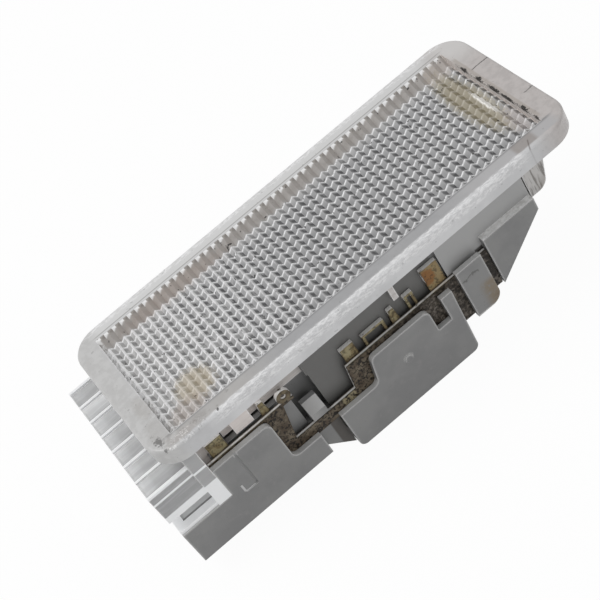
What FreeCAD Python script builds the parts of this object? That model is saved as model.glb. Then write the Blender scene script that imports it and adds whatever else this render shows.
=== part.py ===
import FreeCAD, Part
import os
import Sketcher
from FreeCAD import Vector

# Snap-in lamp for a luggage compartment. The origin is the centre of the flange's underside, which lies
# on the trim panel. X runs along the lamp, Z points out of the lens. Depths are measured down from there,
# and places along the sides from the tub's left end.
SIZES = [
    # lens flange
    ("flange_length", 80.4),
    ("flange_width", 33.4),
    ("flange_thickness", 3.2),
    ("flange_corner", 5.0),
    ("flange_edge", 0.5),
    # prism field sunk in the lens
    ("field_length", 72.0),
    ("field_width", 27.0),
    ("field_floor", 1.2),
    ("tooth_columns", 46),
    ("tooth_rows", 14),
    ("tooth_height", 0.65),
    ("row_rise", 0.55),
    ("ramp_run", 2.4),
    # skirt and tray under the lens
    ("lens_wall", 1.0),
    ("lens_clearance", 0.2),
    ("tray_drop", 0.8),
    ("skirt_depth", 6.6),
    # clear heel that hooks behind the trim panel
    ("trim_gap", 2.8),
    ("heel_reach", 4.6),
    ("heel_width", 30.0),
    ("heel_bottom", 9.6),
    ("heel_ribs", 8),
    ("rib_width", 0.5),
    ("rib_height", 0.35),
    ("post_length", 2.4),
    ("post_width", 2.2),
    ("sole_rim", 1.5),
    ("sole_thickness", 0.6),
    # snap lugs and cheeks of the lens
    ("lug_left_start", 6.4),
    ("lug_left_width", 3.4),
    ("lug_right_start", 37.4),
    ("lug_right_width", 1.0),
    ("lug_depth", 6.0),
    ("cheek_length", 3.1),
    ("cheek_lean", 2.0),
    ("cheek_depth", 8.1),
    ("cheek_corner", 2.0),
    # housing tub
    ("tub_left", 35.0),
    ("tub_right", 29.1),
    ("tub_wall", 1.0),
    ("cavity_depth", 16.8),
    ("floor_wall", 1.0),
    ("low_wall", 6.9),
    ("low_wall_length", 20.0),
    ("end_rise", 0.5),
    # side panels of the housing
    ("panel_inset", 1.4),
    ("panel_wall", 1.0),
    ("panel_round", 1.2),
    ("ledge_inset", 0.2),
    ("ledge_depth", 13.2),
    ("left_bottom", 20.6),
    ("left_top", 6.7),
    ("left_step", 11.0),
    ("left_step_depth", 16.0),
    ("left_end", 16.25),
    ("middle_start", 20.4),
    ("middle_length", 25.0),
    ("middle_bottom", 24.3),
    ("middle_draft", 0.6),
    ("shoulder_length", 7.7),
    ("shoulder_depth", 15.65),
    ("shoulder_lean", 1.0),
    ("middle_top", 10.3),
    ("notch_start", 20.2),
    ("notch_width", 2.6),
    ("notch_depth", 15.2),
    ("dot_start", 34.2),
    ("dot_depth", 15.6),
    ("dot_radius", 0.75),
    ("dot_height", 0.2),
    ("score_start", 4.4),
    ("score_width", 0.35),
    ("score_depth", 0.3),
    ("score_bottom", 14.9),
    ("score_hook", 2.6),
    ("score_hook_top", 13.0),
    # rail tongue in its window
    ("window_start", 16.0),
    ("window_length", 4.3),
    ("window_bottom", 16.0),
    ("tongue_length", 2.8),
    ("tongue_top", 10.9),
    ("nose_reach", 1.4),
    ("window_room", 2.0),
    # ramp fins, bosses and connector socket
    ("fin_inset", 0.1),
    ("fin_length", 10.3),
    ("fin_top", 7.05),
    ("fin_toe", 2.55),
    ("fin_bottom", 17.4),
    ("fin_proud", 2.2),
    ("boss_gap", 1.5),
    ("boss_length", 5.0),
    ("boss_top", 8.4),
    ("boss_bottom", 19.0),
    ("boss_proud", 2.7),
    ("boss_neck_inset", 1.0),
    ("boss_corner", 2.0),
    ("socket_length", 20.0),
    ("socket_width", 20.0),
    ("hollow_wall", 1.0),
    # stamped contact rails
    ("rail_thickness", 0.8),
    ("rail_clearance", 0.1),
    ("rail_left_top", 6.5),
    ("rail_left_bottom", 13.0),
    ("rail_left_end", 16.5),
    ("rail_lip", 0.5),
    ("drop_end", 14.4),
    ("drop_lean", 1.3),
    ("run_top", 14.25),
    ("run_bottom", 16.6),
    ("rise_start", 24.9),
    ("rise_lean", 0.6),
    ("rail_right_top", 9.4),
    ("rail_right_bottom", 18.8),
    ("leg_start", 20.5),
    ("foot_start", 23.3),
    ("blade_width", 6.3),
    ("blade_spread", 4.0),
    ("blade_bottom", 23.6),
    ("slot_floor", 20.4),
    ("tab_lap", 0.8),
    ("tab1_start", 1.4),
    ("tab1_width", 3.0),
    ("tab1_top", 3.6),
    ("tab2_start", 11.0),
    ("tab2_width", 1.6),
    ("tab2_top", 4.0),
    ("tab3_start", 26.1),
    ("tab3_width", 2.5),
    ("tab3_top", 6.7),
    ("tab4_start", 35.3),
    ("tab4_width", 1.6),
    ("tab4_top", 6.7),
    ("tab5_width", 3.2),
    ("tab5_top", 4.8),
    ("tab_taper", 0.3),
    ("arch1_start", 30.1),
    ("arch1_width", 4.3),
    ("arch1_top", 7.3),
    ("arch2_start", 38.8),
    ("arch2_width", 1.7),
    ("arch2_top", 6.6),
    ("arch_strip", 0.5),
    ("eye_radius", 1.25),
    ("eye_hole", 0.45),
    ("eye_sink", 0.2),
    ("arm_width", 1.8),
    ("arm_reach", 3.5),
    ("contact_bottom", 14.0),
    # festoon bulb
    ("bulb_length", 41.0),
    ("bulb_axis", 10.0),
    ("bulb_radius", 5.25),
    ("glass_wall", 0.6),
    ("neck_radius", 3.6),
    ("shoulder", 2.0),
    ("cap_length", 6.5),
    ("cap_radius", 4.25),
    ("cap_cone", 2.5),
    ("cap_tip_radius", 1.2),
    ("lead_radius", 0.25),
    ("coil_radius", 0.6),
    ("coil_length", 12.0),
    # retaining spring at the right end
    ("spring_width", 12.0),
    ("spring_thickness", 0.5),
    ("spring_bottom", 8.4),
    ("spring_knee", 6.9),
    ("spring_crest", 4.2),
    ("spring_lip", 3.0),
    ("spring_reach", 4.2),
    ("spring_lip_run", 2.2),
    ("spring_ledge", 0.7),
]

doc = FreeCAD.newDocument("trunk_light")
sheet = doc.addObject("Spreadsheet::Sheet", "Sizes")
for row, (alias, number) in enumerate(SIZES, 1):
    sheet.set(f"A{row}", alias.replace("_", " "))
    sheet.set(f"B{row}", str(number))
    sheet.setAlias(f"B{row}", alias)
doc.recompute()


class Dim:
    """A length that carries its number and the sheet expression that it comes from."""

    def __init__(self, value, text):
        self.value = float(value)
        self.text = text

    def __add__(self, other):
        other = dim(other)
        return Dim(self.value + other.value, f"({self.text} + {other.text})")

    def __sub__(self, other):
        other = dim(other)
        return Dim(self.value - other.value, f"({self.text} - {other.text})")

    def __mul__(self, factor):
        return Dim(self.value * factor, f"({self.text} * {factor})")

    def __truediv__(self, divisor):
        return Dim(self.value / divisor, f"({self.text} / {divisor})")

    def __neg__(self):
        return Dim(-self.value, f"(-{self.text})")


def dim(value):
    return value if isinstance(value, Dim) else Dim(value, str(value))


class Sizes:
    """The sheet's cells by their aliases."""

    def __getattr__(self, alias):
        return Dim(sheet.get(alias), f"Sizes.{alias}")


s = Sizes()


def rectangle(x0, x1, y0, y1):
    return [(x0, y0), (x1, y0), (x1, y1), (x0, y1)]


def new_sketch(body, name, plane, offset):
    sketch = body.newObject("Sketcher::SketchObject", name)
    planes = {feature.Role: feature for feature in body.Origin.OriginFeatures}
    sketch.AttachmentSupport = (planes[plane], "")
    sketch.MapMode = "FlatFace"
    sketch.setExpression("AttachmentOffset.Base.z", offset.text)
    return sketch


def place_point(sketch, geometry, position, corner):
    for kind, length in zip(("DistanceX", "DistanceY"), corner):
        index = sketch.addConstraint(Sketcher.Constraint(kind, -1, 1, geometry, position, length.value))
        sketch.setExpression(f"Constraints[{index}]", length.text)


def draw_loop(sketch, corners):
    """A closed outline of straight runs through the corners."""
    corners = [(dim(a), dim(b)) for a, b in corners]
    first = sketch.GeometryCount
    count = len(corners)
    points = [Vector(a.value, b.value, 0) for a, b in corners]
    for i in range(count):
        sketch.addGeometry(Part.LineSegment(points[i], points[(i + 1) % count]))
    for i in range(count):
        sketch.addConstraint(Sketcher.Constraint("Coincident", first + i, 2, first + (i + 1) % count, 1))
    for i, corner in enumerate(corners):
        place_point(sketch, first + i, 1, corner)


def draw_circle(sketch, centre, radius):
    centre = (dim(centre[0]), dim(centre[1]))
    middle = Vector(centre[0].value, centre[1].value, 0)
    index = sketch.addGeometry(Part.Circle(middle, Vector(0, 0, 1), radius.value))
    place_point(sketch, index, 3, centre)
    constraint = sketch.addConstraint(Sketcher.Constraint("Radius", index, radius.value))
    sketch.setExpression(f"Constraints[{constraint}]", radius.text)


def extrude(body, name, plane, span, loops=(), circles=(), cut=False):
    """Pad or pocket between two places along the plane's axis: Z for XY, Y for XZ and X for YZ."""
    low, high = dim(span[0]), dim(span[1])
    start = low if plane != "XZ_Plane" else -high
    if cut:
        start = high if plane != "XZ_Plane" else -low
    sketch = new_sketch(body, f"{name}_outline", plane, start)
    for loop in loops:
        draw_loop(sketch, loop)
    for centre, radius in circles:
        draw_circle(sketch, centre, radius)
    before = body.Shape.Volume if body.Tip else 0.0
    feature = body.newObject("PartDesign::Pocket" if cut else "PartDesign::Pad", name)
    feature.Profile = sketch
    feature.setExpression("Length", (high - low).text)
    doc.recompute()
    change = body.Shape.Volume - before
    if (change > -1e-6) if cut else (change < 1e-6):
        raise RuntimeError(f"{name} changes nothing: {feature.getStatusString()}")
    return feature


def straight_edges(shape, direction, places, tolerance=0.01):
    """Names of the edges along a direction through the given places."""
    names = []
    for number, edge in enumerate(shape.Edges, 1):
        if not isinstance(edge.Curve, Part.Line):
            continue
        along = edge.Curve.Direction
        if abs(abs(along.dot(direction)) - 1) > 1e-6:
            continue
        middle = edge.CenterOfMass
        for place in places:
            offset = middle - place
            if (offset - direction * offset.dot(direction)).Length < tolerance:
                names.append(f"Edge{number}")
                break
    return names


def round_edges(body, name, radius, edges):
    fillet = body.newObject("PartDesign::Fillet", name)
    fillet.Base = (body.Tip if body.Tip.Name != fillet.Name else fillet.BaseFeature, edges)
    fillet.setExpression("Radius", radius.text)
    doc.recompute()
    return fillet


def profile_places(corners):
    return [Vector(dim(a).value, 0, dim(b).value) for a, b in corners]


def new_body(label):
    body = doc.addObject("PartDesign::Body", label)
    body.Label = label
    return body


# Shared places
left = -s.tub_left
panel_face = s.flange_width / 2 - s.panel_inset
slot_width = s.rail_thickness * 2 + s.rail_clearance * 2
panel_back = panel_face - s.panel_wall
tub_face = panel_back - slot_width
cavity_half = tub_face - s.tub_wall
tub_bottom = -s.cavity_depth - s.floor_wall
rail_front = panel_back - s.rail_clearance
rail_back = rail_front - s.rail_thickness
tab_back = rail_back - s.rail_thickness
heel_end = -s.flange_length / 2 - s.heel_reach
ledge_end = heel_end + s.ledge_inset
fin_right = s.tub_right - s.fin_inset
fin_left = fin_right - s.fin_length
boss_right = fin_left - s.boss_gap
boss_left = boss_right - s.boss_length
tab1_left = left + s.tab1_start
tab1_right = tab1_left + s.tab1_width
contact_right = tab1_right + s.bulb_length
tab5_right = contact_right + s.rail_thickness
tab5_left = tab5_right - s.tab5_width
window_left = left + s.window_start
window_right = window_left + s.window_length
AXIS_Y = Vector(0, 1, 0)
AXIS_Z = Vector(0, 0, 1)


def side_spans(inner, outer):
    """Near and far span across the lamp, between two distances from its middle."""
    return {"near": (-outer, -inner), "far": (inner, outer)}


def build_lens():
    """Clear moulding: flange, tray with skirt, heel on its sole, posts, lugs and cheeks, then the prisms."""
    body = new_body("lens_blank")
    half_length = s.flange_length / 2
    half_width = s.flange_width / 2
    flange = rectangle(-half_length, half_length, -half_width, half_width)
    extrude(body, "flange", "XY_Plane", (0, s.flange_thickness), [flange])
    corners = [Vector(a.value, b.value, 0) for a, b in flange]
    round_edges(body, "flange_corners", s.flange_corner, straight_edges(body.Shape, AXIS_Z, corners))
    top = s.flange_thickness.value
    rim = [f"Edge{n}" for n, e in enumerate(body.Shape.Edges, 1) if abs(e.BoundBox.ZMin - top) < 1e-6]
    round_edges(body, "flange_rim", s.flange_edge, rim)

    skirt_half = cavity_half - s.lens_clearance
    skirt_left = left + s.tub_wall + s.lens_clearance
    skirt_right = s.tub_right - s.tub_wall - s.lens_clearance
    skirt = rectangle(skirt_left, skirt_right, -skirt_half, skirt_half)
    extrude(body, "skirt", "XY_Plane", (-s.skirt_depth, 0), [skirt])
    heel = rectangle(heel_end, left, -s.heel_width / 2, s.heel_width / 2)
    heel_floor = -s.trim_gap - s.rib_height
    extrude(body, "heel", "XY_Plane", (-s.heel_bottom, heel_floor), [heel])
    neck = rectangle(left, skirt_left + s.lens_wall, -skirt_half, skirt_half)
    extrude(body, "heel_neck", "XY_Plane", (-s.heel_bottom, heel_floor), [neck])
    pitch = (s.heel_width - s.rib_width) / (s.heel_ribs.value - 1)
    ribs = []
    for i in range(int(s.heel_ribs.value)):
        low = -s.heel_width / 2 + pitch * i
        ribs.append(rectangle(heel_end, left, low, low + s.rib_width))
    extrude(body, "heel_ribs", "XY_Plane", (heel_floor, -s.trim_gap), ribs)
    for side, span in side_spans(s.heel_width / 2 - s.post_width, panel_face).items():
        post = rectangle(left - s.post_length, left, span[0], span[1])
        extrude(body, f"post_{side}", "XY_Plane", (-s.ledge_depth, 0), [post])
    sole = rectangle(ledge_end, left, -s.heel_width / 2, s.heel_width / 2)
    sole_half = s.heel_width / 2 - s.sole_rim
    sole_opening = rectangle(ledge_end + s.sole_rim, left - s.post_length, -sole_half, sole_half)
    sole_top = -s.ledge_depth + s.sole_thickness
    extrude(body, "sole", "XY_Plane", (-s.ledge_depth, sole_top), [sole, sole_opening])

    hollow = rectangle(skirt_left + s.lens_wall, skirt_right - s.lens_wall,
                       -skirt_half + s.lens_wall, skirt_half - s.lens_wall)
    extrude(body, "tray", "XY_Plane", (-s.heel_bottom, -s.tray_drop), [hollow], cut=True)

    lug_left = left + s.lug_left_start
    lug_right = left + s.lug_right_start
    lug_spans = side_spans(tub_face + s.rail_clearance, rail_back - s.rail_clearance)
    for side, span in lug_spans.items():
        lugs = [rectangle(lug_left, lug_left + s.lug_left_width, span[0], span[1]),
                rectangle(lug_right, lug_right + s.lug_right_width, span[0], span[1])]
        extrude(body, f"lugs_{side}", "XY_Plane", (-s.lug_depth, 0), lugs)

    cheek_left = s.tub_right + s.lens_clearance
    cheek_right = cheek_left + s.cheek_length
    cheek = [(cheek_left, -s.cheek_depth), (cheek_right, -s.cheek_depth), (cheek_right + s.cheek_lean, 0),
             (cheek_left, 0)]
    for side, span in side_spans(cavity_half - s.lens_clearance, rail_back).items():
        extrude(body, f"cheek_{side}", "XZ_Plane", span, [cheek])
    foot = [Vector(cheek_right.value, 0, -s.cheek_depth.value)]
    round_edges(body, "cheek_corners", s.cheek_corner, straight_edges(body.Shape, AXIS_Y, foot))

    arm_top = -s.tab1_top + s.lens_clearance
    for side, end in (("near", tab1_right), ("far", tab5_right)):
        span = side_spans(skirt_half - s.lens_wall * 2, skirt_half + s.lens_clearance)[side]
        start = end - s.arm_width
        way = rectangle(start - s.lens_clearance, end + s.lens_clearance, span[0], span[1])
        extrude(body, f"arm_way_{side}", "XY_Plane", (-s.skirt_depth, arm_top), [way], cut=True)

    air = doc.addObject("Part::Feature", "prism_air")
    air.Shape = prism_air()
    lens = doc.addObject("Part::Cut", "lens")
    lens.Base = body
    lens.Tool = air
    lens.Label = "lens"
    return lens


def prism_air():
    """The space above the prisms: gabled rows that climb away from the near side, and a fluted ramp."""
    length = s.field_length.value
    width = s.field_width.value
    columns = int(s.tooth_columns.value)
    rows = int(s.tooth_rows.value)
    run = (width - s.ramp_run.value) / rows
    floor = s.field_floor.value
    ceiling = s.flange_thickness.value * 2
    half_tooth = length / columns / 2
    zigzag = []
    for i in range(2 * columns + 1):
        height = floor + (s.tooth_height.value if i % 2 else 0)
        zigzag.append((-length / 2 + half_tooth * i, height))
    outline = zigzag + [(length / 2, ceiling), (-length / 2, ceiling)]

    def stretch(y, climb):
        points = [Vector(x, y, z) for x, z in outline]
        face = Part.Face(Part.makePolygon(points + points[:1]))
        return face.extrude(climb)

    climb = Vector(0, run, s.row_rise.value)
    solids = [stretch(-width / 2 + run * row, climb) for row in range(rows)]
    ramp = Vector(0, s.ramp_run.value, s.flange_thickness.value - floor)
    solids.append(stretch(width / 2 - s.ramp_run.value, ramp))
    return solids[0].multiFuse(solids[1:])


def build_housing():
    """Grey moulding: side blocks, tub, rail slots, tongues, fins, bosses, ledge and connector socket."""
    body = new_body("housing")
    step = left + s.left_step
    left_end = left + s.left_end
    left_block = [(ledge_end, -s.left_bottom), (left_end, -s.left_bottom), (left_end, -s.left_step_depth),
                  (step, -s.left_step_depth), (step, -s.left_top), (left, -s.left_top),
                  (left, -s.ledge_depth), (ledge_end, -s.ledge_depth)]
    start = left + s.middle_start
    end = start + s.middle_length
    shoulder = start + s.shoulder_length
    notch = start + s.notch_start
    notch_end = notch + s.notch_width
    middle_block = [(start, -s.middle_bottom), (end - s.middle_draft, -s.middle_bottom), (end, -s.middle_top),
                    (notch_end, -s.middle_top), (notch_end, -s.notch_depth), (notch, -s.notch_depth),
                    (notch, -s.middle_top), (shoulder + s.shoulder_lean, -s.middle_top),
                    (shoulder, -s.shoulder_depth), (start, -s.shoulder_depth)]
    end_bottom = -s.fin_top - s.fin_toe + s.end_rise
    tub = [(left, 0), (left, tub_bottom), (boss_right, tub_bottom), (s.tub_right, end_bottom),
           (s.tub_right, 0)]
    extrude(body, "tub", "XZ_Plane", (-tub_face, tub_face), [tub])
    extrude(body, "side_blocks", "XZ_Plane", (-panel_face, panel_face), [left_block, middle_block])
    rounded = profile_places([left_block[3], left_block[4], middle_block[0], middle_block[1],
                              middle_block[6], middle_block[7], middle_block[8]])
    round_edges(body, "panel_rounds", s.panel_round, straight_edges(body.Shape, AXIS_Y, rounded))
    gusset = [(left_end, -s.cavity_depth), (left_end, -s.left_bottom), (start, -s.middle_bottom),
              (start, -s.cavity_depth)]
    extrude(body, "gusset", "XZ_Plane", (-rail_back, rail_back), [gusset])

    for side, span in side_spans(tub_face, panel_back).items():
        left_slot = rectangle(left, left_end, -s.run_bottom, 0)
        middle_slot = rectangle(start, end, -s.slot_floor, 0)
        extrude(body, f"rail_slots_{side}", "XZ_Plane", span, [left_slot, middle_slot], cut=True)

    inner_left = left + s.tub_wall
    inner_right = s.tub_right - s.tub_wall
    cavity = [(inner_left, 0), (inner_left, -s.cavity_depth), (boss_right - s.tub_wall / 2, -s.cavity_depth),
              (inner_right, end_bottom + s.tub_wall / 2), (inner_right, 0)]
    extrude(body, "cavity", "XZ_Plane", (-cavity_half, cavity_half), [cavity], cut=True)
    low = rectangle(left, left + s.low_wall_length, -tub_face, tub_face)
    extrude(body, "low_walls", "XY_Plane", (-s.low_wall, 0), [low], cut=True)
    end_wall = rectangle(left, left + s.tub_wall, -tub_face, tub_face)
    heel_seat = -s.heel_bottom - s.rail_clearance
    extrude(body, "low_end", "XY_Plane", (heel_seat, 0), [end_wall], cut=True)

    tongue_left = window_left + (s.window_length - s.tongue_length) / 2
    tongue_right = tongue_left + s.tongue_length
    window = [(window_left, -s.window_bottom), (tongue_left, -s.window_bottom), (tongue_left, -s.tongue_top),
              (tongue_right, -s.tongue_top), (tongue_right, -s.window_bottom),
              (window_right, -s.window_bottom), (window_right, -s.low_wall), (window_left, -s.low_wall)]
    nose_bottom = -s.run_top + s.rail_clearance
    nose_tip = rail_front - s.rail_clearance
    for side, span in side_spans(cavity_half, tub_face).items():
        extrude(body, f"window_{side}", "XZ_Plane", span, [window], cut=True)
        sign = -1 if side == "near" else 1
        nose = [(tub_face * sign, -s.tongue_top), (tub_face * sign, nose_bottom),
                (nose_tip * sign, nose_bottom), (nose_tip * sign, nose_bottom + s.nose_reach)]
        extrude(body, f"nose_{side}", "YZ_Plane", (tongue_left, tongue_right), [nose])

    screen = rectangle(window_left - s.tub_wall, window_right + s.tub_wall, -s.cavity_depth, -s.low_wall)
    screen_face = cavity_half - s.window_room
    for side, span in side_spans(screen_face - s.tub_wall, screen_face).items():
        extrude(body, f"screen_{side}", "XZ_Plane", span, [screen])

    fin = [(fin_left, -s.fin_top), (fin_left, -s.fin_bottom), (fin_right, -s.fin_top - s.fin_toe),
           (fin_right, -s.fin_top)]
    for side, span in side_spans(tub_face, tub_face + s.fin_proud).items():
        extrude(body, f"fin_{side}", "XZ_Plane", span, [fin])
    thick_wall = rectangle(tab5_right + s.rail_clearance * 3, s.tub_right, -s.rail_right_top, 0)
    for side, span in side_spans(tub_face, rail_back).items():
        extrude(body, f"thick_wall_{side}", "XZ_Plane", span, [thick_wall])
    neck = rectangle(boss_left + s.boss_neck_inset, boss_right - s.boss_neck_inset,
                     -s.boss_bottom + s.boss_neck_inset * 2, -s.boss_top - s.boss_neck_inset * 2)
    head = rectangle(boss_left, boss_right, -s.boss_bottom, -s.boss_top)
    for side, span in side_spans(tub_face, rail_front + s.rail_clearance).items():
        extrude(body, f"boss_neck_{side}", "XZ_Plane", span, [neck])
    for side, span in side_spans(rail_front + s.rail_clearance, tub_face + s.boss_proud).items():
        extrude(body, f"boss_{side}", "XZ_Plane", span, [head])
    toe = [Vector(boss_right.value, 0, -s.boss_bottom.value)]
    round_edges(body, "boss_corners", s.boss_corner, straight_edges(body.Shape, AXIS_Y, toe))

    ledge_right = s.tub_right + s.spring_thickness * 2
    ledge = rectangle(s.tub_right, ledge_right, -s.spring_width / 2, s.spring_width / 2)
    extrude(body, "spring_ledge", "XY_Plane", (-s.spring_bottom - s.spring_ledge, -s.spring_bottom), [ledge])

    arm_floor = -s.tab1_top - s.rail_thickness - s.lens_clearance
    arm_left = tab5_right - s.arm_width
    way = rectangle(arm_left - s.lens_clearance, tab5_right + s.lens_clearance, cavity_half, tub_face)
    extrude(body, "arm_way", "XY_Plane", (arm_floor, 0), [way], cut=True)

    under = rectangle(ledge_end + s.hollow_wall, left - s.hollow_wall,
                      -panel_face + s.hollow_wall, panel_face - s.hollow_wall)
    under_top = -s.ledge_depth - s.hollow_wall
    extrude(body, "ledge_hollow", "XY_Plane", (-s.left_bottom, under_top), [under], cut=True)
    left_under = rectangle(left + s.hollow_wall, left_end - s.hollow_wall, -cavity_half, cavity_half)
    extrude(body, "left_hollow", "XY_Plane", (-s.left_bottom, tub_bottom), [left_under], cut=True)
    middle = (start + end) / 2
    socket = rectangle(middle - s.socket_length / 2, middle + s.socket_length / 2,
                       -s.socket_width / 2, s.socket_width / 2)
    extrude(body, "socket", "XY_Plane", (-s.middle_bottom, tub_bottom), [socket], cut=True)
    foot_left = left + s.foot_start - s.rail_clearance
    foot_right = foot_left + s.blade_width + s.rail_clearance * 2
    for side, span in side_spans(s.socket_width / 2, tub_face).items():
        slit = rectangle(foot_left, foot_right, span[0], span[1])
        slit_top = -s.slot_floor + s.rail_thickness + s.rail_clearance
        extrude(body, f"foot_slit_{side}", "XY_Plane", (-s.slot_floor, slit_top), [slit], cut=True)

    dot = ((left + s.dot_start, -s.dot_depth), s.dot_radius)
    for side, span in side_spans(panel_face, panel_face + s.dot_height).items():
        extrude(body, f"dot_{side}", "XZ_Plane", span, circles=[dot])
    line = left + s.score_start
    hook = line - s.score_hook
    score = [(line, -s.left_top), (line, -s.score_bottom), (hook + s.score_width, -s.score_bottom),
             (hook, -s.score_bottom + s.score_width), (hook, -s.score_hook_top),
             (hook + s.score_width, -s.score_hook_top),
             (hook + s.score_width, -s.score_bottom + s.score_width),
             (line - s.score_width, -s.score_bottom + s.score_width), (line - s.score_width, -s.left_top)]
    for side, span in side_spans(panel_face - s.score_depth, panel_face).items():
        extrude(body, f"score_{side}", "XZ_Plane", span, [score], cut=True)
    return body


def build_rail(side, arm_right, contact_left):
    """Stamped strip in a side slot: main plate, raised tabs and arches, bulb arm, and foot with its blade."""
    body = new_body(f"contact_rail_{side}")
    start = left + s.rail_clearance
    drop = left + s.left_step
    drop_end = left + s.drop_end
    rise = left + s.rise_start
    leg = left + s.leg_start
    foot = left + s.foot_start
    foot_end = foot + s.blade_width
    end = fin_left - s.rail_clearance
    right_plate = left + s.middle_start + s.middle_length
    plate = [(start, -s.rail_left_top), (left + s.rail_left_end, -s.rail_left_top),
             (left + s.rail_left_end, -s.rail_left_top - s.rail_lip),
             (drop_end, -s.rail_left_top - s.rail_lip), (drop_end - s.drop_lean, -s.run_top),
             (rise, -s.run_top), (rise + s.rise_lean, -s.rail_right_top), (end, -s.rail_right_top),
             (end, -s.fin_bottom), (boss_right, -s.fin_bottom),
             (boss_right, -s.rail_right_bottom), (right_plate, -s.rail_right_bottom),
             (right_plate, -s.run_bottom), (foot_end, -s.run_bottom),
             (foot_end, -s.slot_floor), (foot, -s.slot_floor), (foot, -s.rail_right_bottom),
             (leg, -s.rail_right_bottom), (leg, -s.run_bottom), (drop, -s.run_bottom),
             (drop, -s.rail_left_bottom), (start, -s.rail_left_bottom)]
    opening = rectangle(boss_left + s.boss_neck_inset - s.rail_clearance,
                        boss_right - s.boss_neck_inset + s.rail_clearance,
                        -s.boss_bottom + s.boss_neck_inset * 2 - s.rail_clearance,
                        -s.boss_top - s.boss_neck_inset * 2 + s.rail_clearance)
    main_span = side_spans(rail_back, rail_front)[side]
    extrude(body, "plate", "XZ_Plane", main_span, [plate, opening])
    eye_middle = (left + s.rail_left_end - s.eye_radius, -s.rail_left_top + s.eye_radius - s.eye_sink)
    eye = [(eye_middle, s.eye_radius), (eye_middle, s.eye_hole)]
    extrude(body, "eye", "XZ_Plane", main_span, circles=eye)

    tab_span = side_spans(tab_back, rail_back)[side]
    left_base = -s.rail_left_top - s.tab_lap
    right_base = -s.rail_right_top - s.tab_lap
    tabs = []
    last_top = s.tab5_top if side == "near" else s.tab1_top
    for base, a, width, top, taper in (
            (left_base, tab1_left, s.tab1_width, s.tab1_top, 0),
            (left_base, left + s.tab2_start, s.tab2_width, s.tab2_top, s.tab_taper),
            (right_base, left + s.tab3_start, s.tab3_width, s.tab3_top, 0),
            (right_base, left + s.tab4_start, s.tab4_width, s.tab4_top, s.tab_taper),
            (right_base, tab5_left, s.tab5_width, last_top, 0)):
        b = a + width
        tabs.append([(a, base), (b, base), (b - taper, -top), (a + taper, -top)])
    for first, width, top in ((s.arch1_start, s.arch1_width, s.arch1_top),
                              (s.arch2_start, s.arch2_width, s.arch2_top)):
        a = left + first
        b = a + width
        strip = s.arch_strip
        tabs.append([(a, right_base), (a + strip, right_base), (a + strip, -top - strip),
                     (b - strip, -top - strip), (b - strip, right_base), (b, right_base),
                     (b, -top), (a, -top)])
    extrude(body, "tabs", "XZ_Plane", tab_span, tabs)

    arm_top = -s.tab1_top
    arm_bottom = arm_top - s.rail_thickness
    sign = -1 if side == "near" else 1
    arm = rectangle(arm_right - s.arm_width, arm_right, tab_back * sign, s.arm_reach * -sign)
    extrude(body, "arm", "XY_Plane", (arm_bottom, arm_top), [arm])
    contact = rectangle(-s.arm_reach, s.arm_reach, -s.contact_bottom, arm_top)
    extrude(body, "contact", "YZ_Plane", (contact_left, contact_left + s.rail_thickness), [contact])

    foot_plate = rectangle(foot, foot_end, rail_back * sign, s.blade_spread * sign)
    foot_top = -s.slot_floor + s.rail_thickness
    extrude(body, "foot", "XY_Plane", (-s.slot_floor, foot_top), [foot_plate])
    blade = rectangle(foot, foot_end, -s.blade_bottom, foot_top)
    blade_span = side_spans(s.blade_spread - s.rail_thickness, s.blade_spread)[side]
    extrude(body, "blade", "XZ_Plane", blade_span, [blade])
    return body


def build_spring():
    """Bent leaf that grips the trim panel at the right end: foot, outward ramp and lip."""
    body = new_body("retaining_spring")
    foot = s.tub_right
    thick = s.spring_thickness
    crest = foot + s.spring_reach
    leaf = [(foot, -s.spring_bottom), (foot + thick, -s.spring_bottom), (foot + thick, -s.spring_knee),
            (crest, -s.spring_crest), (crest - s.spring_lip_run, -s.spring_lip),
            (crest - s.spring_lip_run, -s.spring_lip - thick),
            (crest - thick * 1.6, -s.spring_crest - thick * 0.1), (foot, -s.spring_knee + thick)]
    extrude(body, "leaf", "XZ_Plane", (-s.spring_width / 2, s.spring_width / 2), [leaf])
    return body


def revolve(label, profile):
    """A turned piece on the bulb's axis: the profile is drawn beside the axis as (along, out) pairs."""
    body = new_body(label)
    sketch = new_sketch(body, f"{label}_profile", "XZ_Plane", dim(0))
    draw_loop(sketch, profile)
    turned = body.newObject("PartDesign::Revolution", f"{label}_turned")
    turned.Profile = sketch
    turned.ReferenceAxis = (sketch, ["H_Axis"])
    turned.Angle = 360
    middle = tab1_right + s.bulb_length / 2
    body.setExpression("Placement.Base.x", middle.text)
    body.setExpression("Placement.Base.z", (-s.bulb_axis).text)
    doc.recompute()
    return body


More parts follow.
